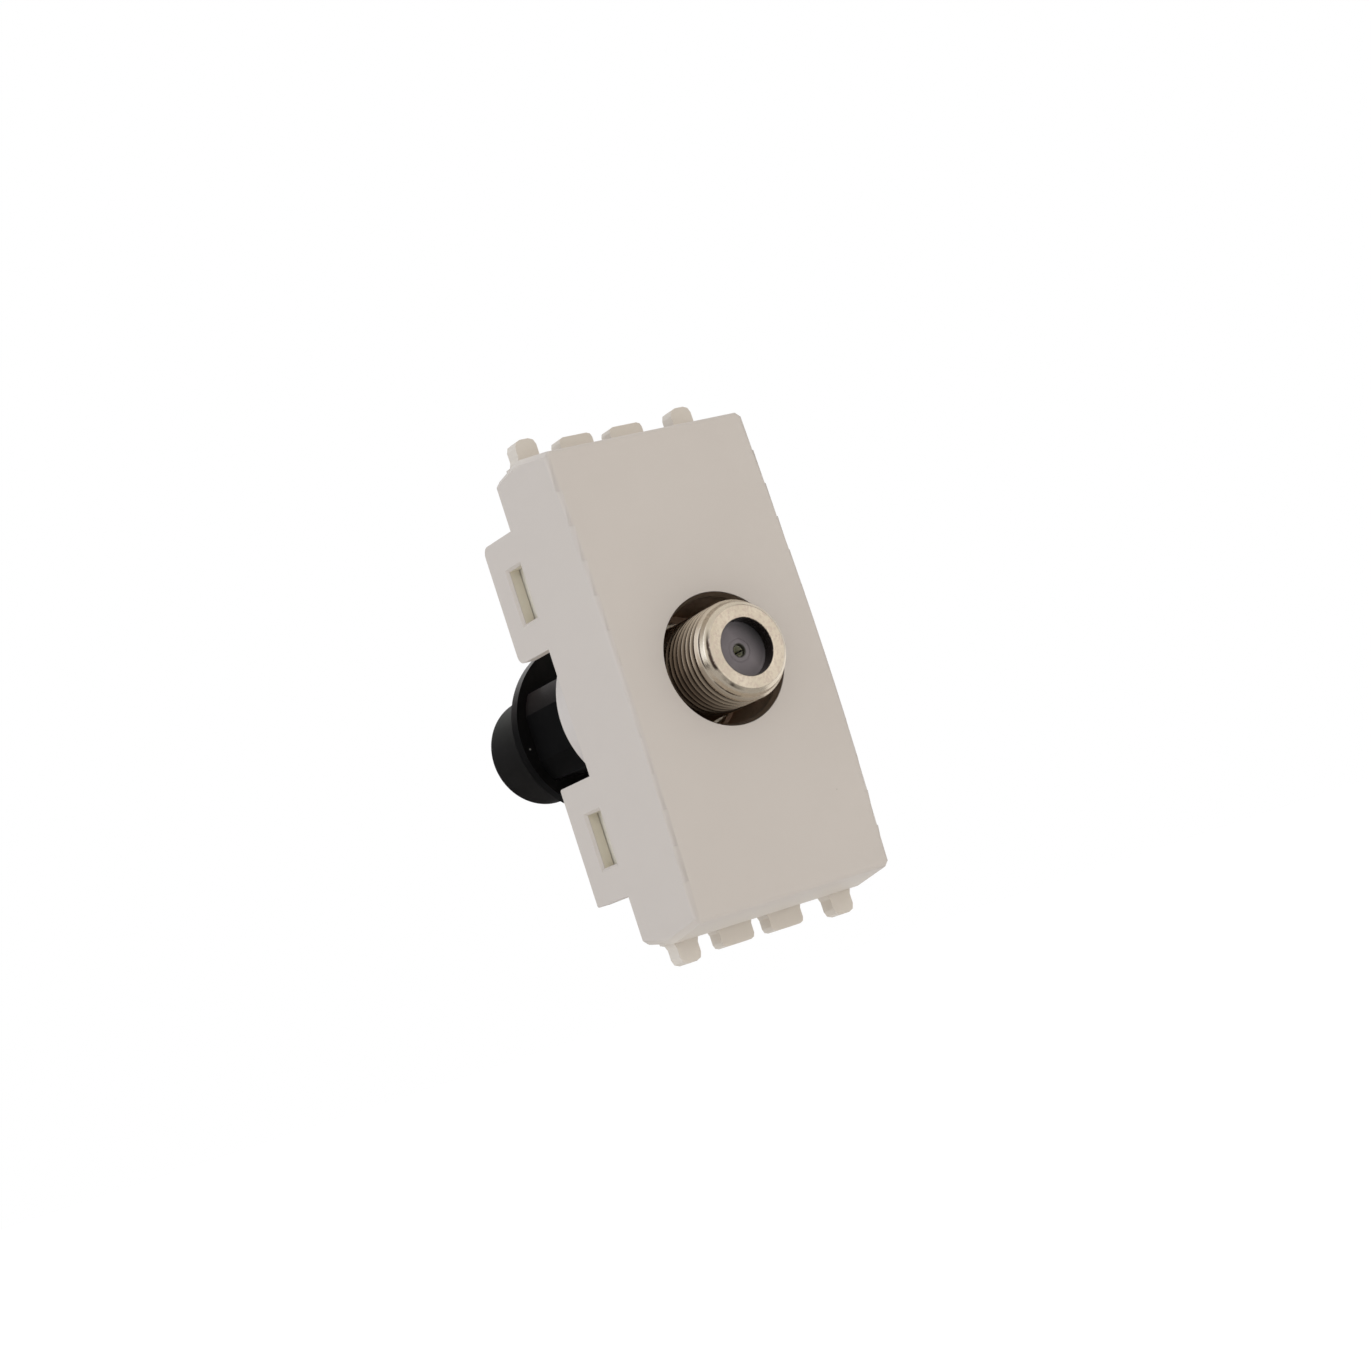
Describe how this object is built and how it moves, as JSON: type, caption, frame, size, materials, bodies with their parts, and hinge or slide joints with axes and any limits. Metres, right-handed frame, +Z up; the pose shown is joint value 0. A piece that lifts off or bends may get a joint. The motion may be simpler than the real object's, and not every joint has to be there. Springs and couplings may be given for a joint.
{
  "type": "tv antenna socket module",
  "caption": "Half-width white wall module with a bowed face, a threaded coaxial aerial connector, snap ears, edge tabs and a black cable housing behind.",
  "frame": {"origin": "where the connector's axis meets the crown of the bowed front face", "axes": "+X across the module's width, +Y into the wall, +Z up"},
  "size_m": [0.022, 0.043, 0.0508],
  "materials": {
    "white_moulding": "fine satin",
    "black_moulding": "soft gloss",
    "brown_moulding": "dull satin",
    "nickel_plate": "bright nickel plate",
    "contact_metal": "tinned spring metal",
    "grey_insulator": "smooth",
    "natural_insulator": "smooth",
    "seal_rubber": "matt"
  },
  "bodies": {
    "root": {"front_shell": "white_moulding", "rear_base": "white_moulding", "connector_carrier": "brown_moulding", "coax_barrel": "nickel_plate", "rear_nut": "nickel_plate", "lock_washer": "nickel_plate", "front_insulator": "grey_insulator", "rear_insulator": "natural_insulator", "centre_contact": "contact_metal", "braid_sleeve": "nickel_plate", "rear_body": "black_moulding", "nose_cap": "black_moulding", "clamp_ring": "nickel_plate", "cable_seal": "seal_rubber"}
  },
  "joints": []
}
